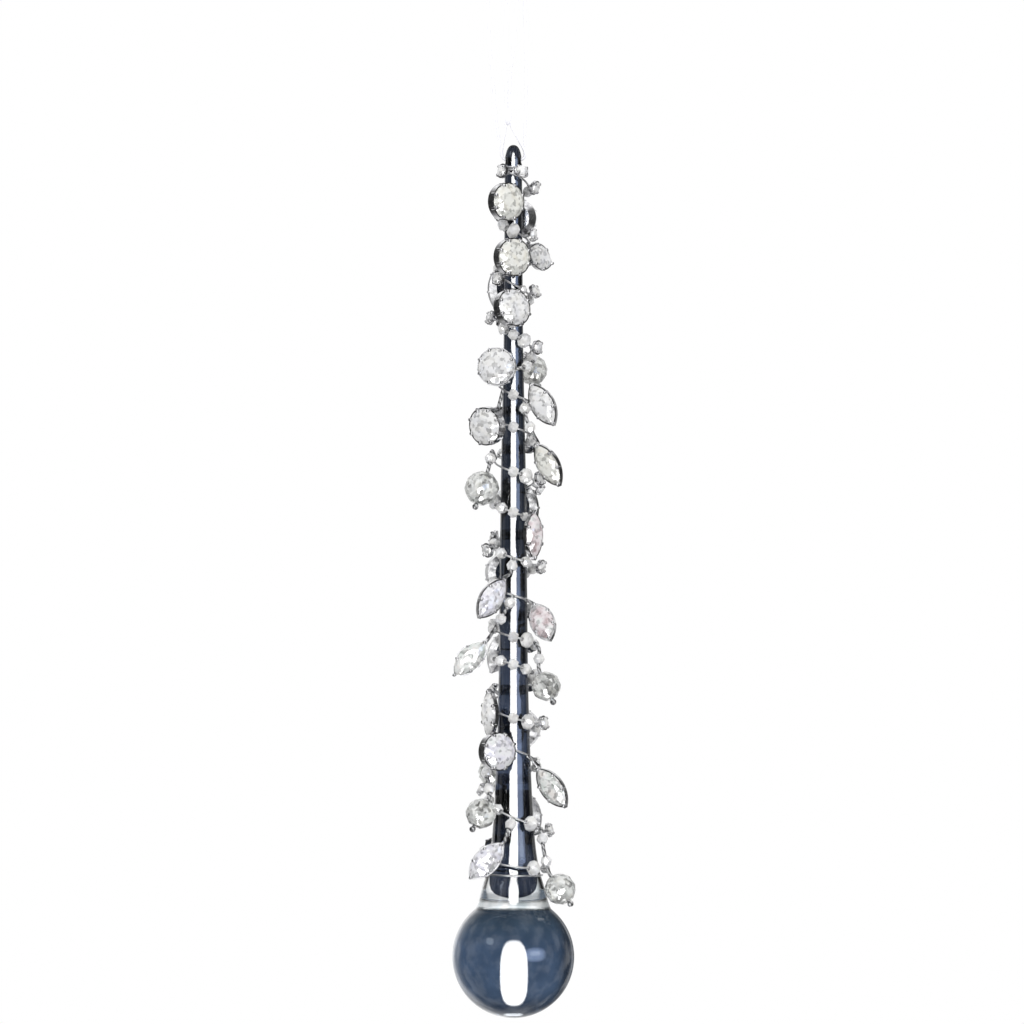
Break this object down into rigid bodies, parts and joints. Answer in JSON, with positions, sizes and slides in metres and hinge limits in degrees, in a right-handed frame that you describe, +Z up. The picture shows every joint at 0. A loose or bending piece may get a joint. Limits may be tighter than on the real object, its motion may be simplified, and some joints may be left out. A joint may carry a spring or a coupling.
{
  "type": "icicle hanging ornament",
  "caption": "Solid glass icicle ending in a ball, wound with a wired garland of claw-set crystals and beads, hung on thread loops.",
  "frame": {"origin": "where a hook carries the two thread loops, on the glass rod's axis", "axes": "+Z up along the rod's axis, front towards -Y, +X to the right seen from the front; the thread hole runs along X"},
  "size_m": [0.0283, 0.028, 0.2466],
  "materials": {
    "smoky_glass": "solid polished glass, smoky slate blue",
    "white_thread": "twisted thread",
    "rhinestone": "foil-backed cut crystal",
    "cut_crystal": "faceted clear crystal",
    "claw_cup": "silver plated, bright, dark in the recesses",
    "silver_wire": "drawn silver-coloured wire",
    "bead_glass": "clear pressed glass"
  },
  "bodies": {
    "hanging_loops": {"hanging_cord_outer": "white_thread", "hanging_cord_inner": "white_thread", "cord_knot": "white_thread"},
    "ornament": {"clear_beads": "bead_glass", "garland_wire": "silver_wire", "glass_icicle": "smoky_glass", "head_pins": "silver_wire", "jewel_stems": "silver_wire", "lower_seed_beads": "bead_glass", "middle_seed_beads": "bead_glass", "navette_settings": "claw_cup", "navette_stone_1": "rhinestone", "navette_stone_10": "rhinestone", "navette_stone_11": "rhinestone", "navette_stone_12": "rhinestone", "navette_stone_13": "rhinestone", "navette_stone_14": "rhinestone", "navette_stone_2": "rhinestone", "navette_stone_3": "rhinestone", "navette_stone_4": "rhinestone", "navette_stone_5": "rhinestone", "navette_stone_6": "rhinestone", "navette_stone_7": "rhinestone", "navette_stone_8": "rhinestone", "navette_stone_9": "rhinestone", "oval_beads": "bead_glass", "round_settings": "claw_cup", "round_stone_1": "rhinestone", "round_stone_2": "rhinestone", "round_stone_3": "rhinestone", "round_stone_4": "rhinestone", "round_stone_5": "rhinestone", "round_stone_6": "rhinestone", "round_stone_7": "rhinestone", "round_stone_8": "rhinestone", "round_stone_9": "rhinestone", "small_seed_beads": "bead_glass", "small_settings": "claw_cup", "small_stalks": "silver_wire", "small_stones": "rhinestone", "stem_beads": "bead_glass", "upper_seed_beads": "bead_glass"},
    "crystal_ball_1_body": {"crystal_ball_1": "cut_crystal"},
    "crystal_ball_2_body": {"crystal_ball_2": "cut_crystal"},
    "crystal_ball_3_body": {"crystal_ball_3": "cut_crystal"},
    "crystal_ball_4_body": {"crystal_ball_4": "cut_crystal"},
    "crystal_ball_5_body": {"crystal_ball_5": "cut_crystal"},
    "crystal_ball_6_body": {"crystal_ball_6": "cut_crystal"}
  },
  "joints": [
    {"name": "ornament_swing", "type": "hinge", "parent": "hanging_loops", "child": "ornament", "pos_m": [0, 0, -0.0497], "axis": [1, 0, 0], "range_deg": [-75, 75]},
    {"name": "crystal_ball_1_spin", "type": "hinge", "parent": "ornament", "child": "crystal_ball_1_body", "pos_m": [-0.0072, -0.0048, -0.1247], "axis": [-0.3252, -0.139, -0.9354], "continuous": true},
    {"name": "crystal_ball_2_spin", "type": "hinge", "parent": "ornament", "child": "crystal_ball_2_body", "pos_m": [0.0075, -0.0048, -0.1699], "axis": [0.4061, -0.139, -0.9032], "continuous": true},
    {"name": "crystal_ball_3_spin", "type": "hinge", "parent": "ornament", "child": "crystal_ball_3_body", "pos_m": [-0.0074, -0.0083, -0.1988], "axis": [-0.4685, -0.1389, -0.8725], "continuous": true},
    {"name": "crystal_ball_4_spin", "type": "hinge", "parent": "ornament", "child": "crystal_ball_4_body", "pos_m": [0.0107, -0.0048, -0.2162], "axis": [0.5695, -0.2064, -0.7956], "continuous": true},
    {"name": "crystal_ball_5_spin", "type": "hinge", "parent": "ornament", "child": "crystal_ball_5_body", "pos_m": [0.0044, 0.0072, -0.0974], "axis": [0.3414, 0.1733, -0.9238], "continuous": true},
    {"name": "crystal_ball_6_spin", "type": "hinge", "parent": "ornament", "child": "crystal_ball_6_body", "pos_m": [-0.0046, 0.0086, -0.19], "axis": [-0.3414, 0.1733, -0.9238], "continuous": true}
  ]
}
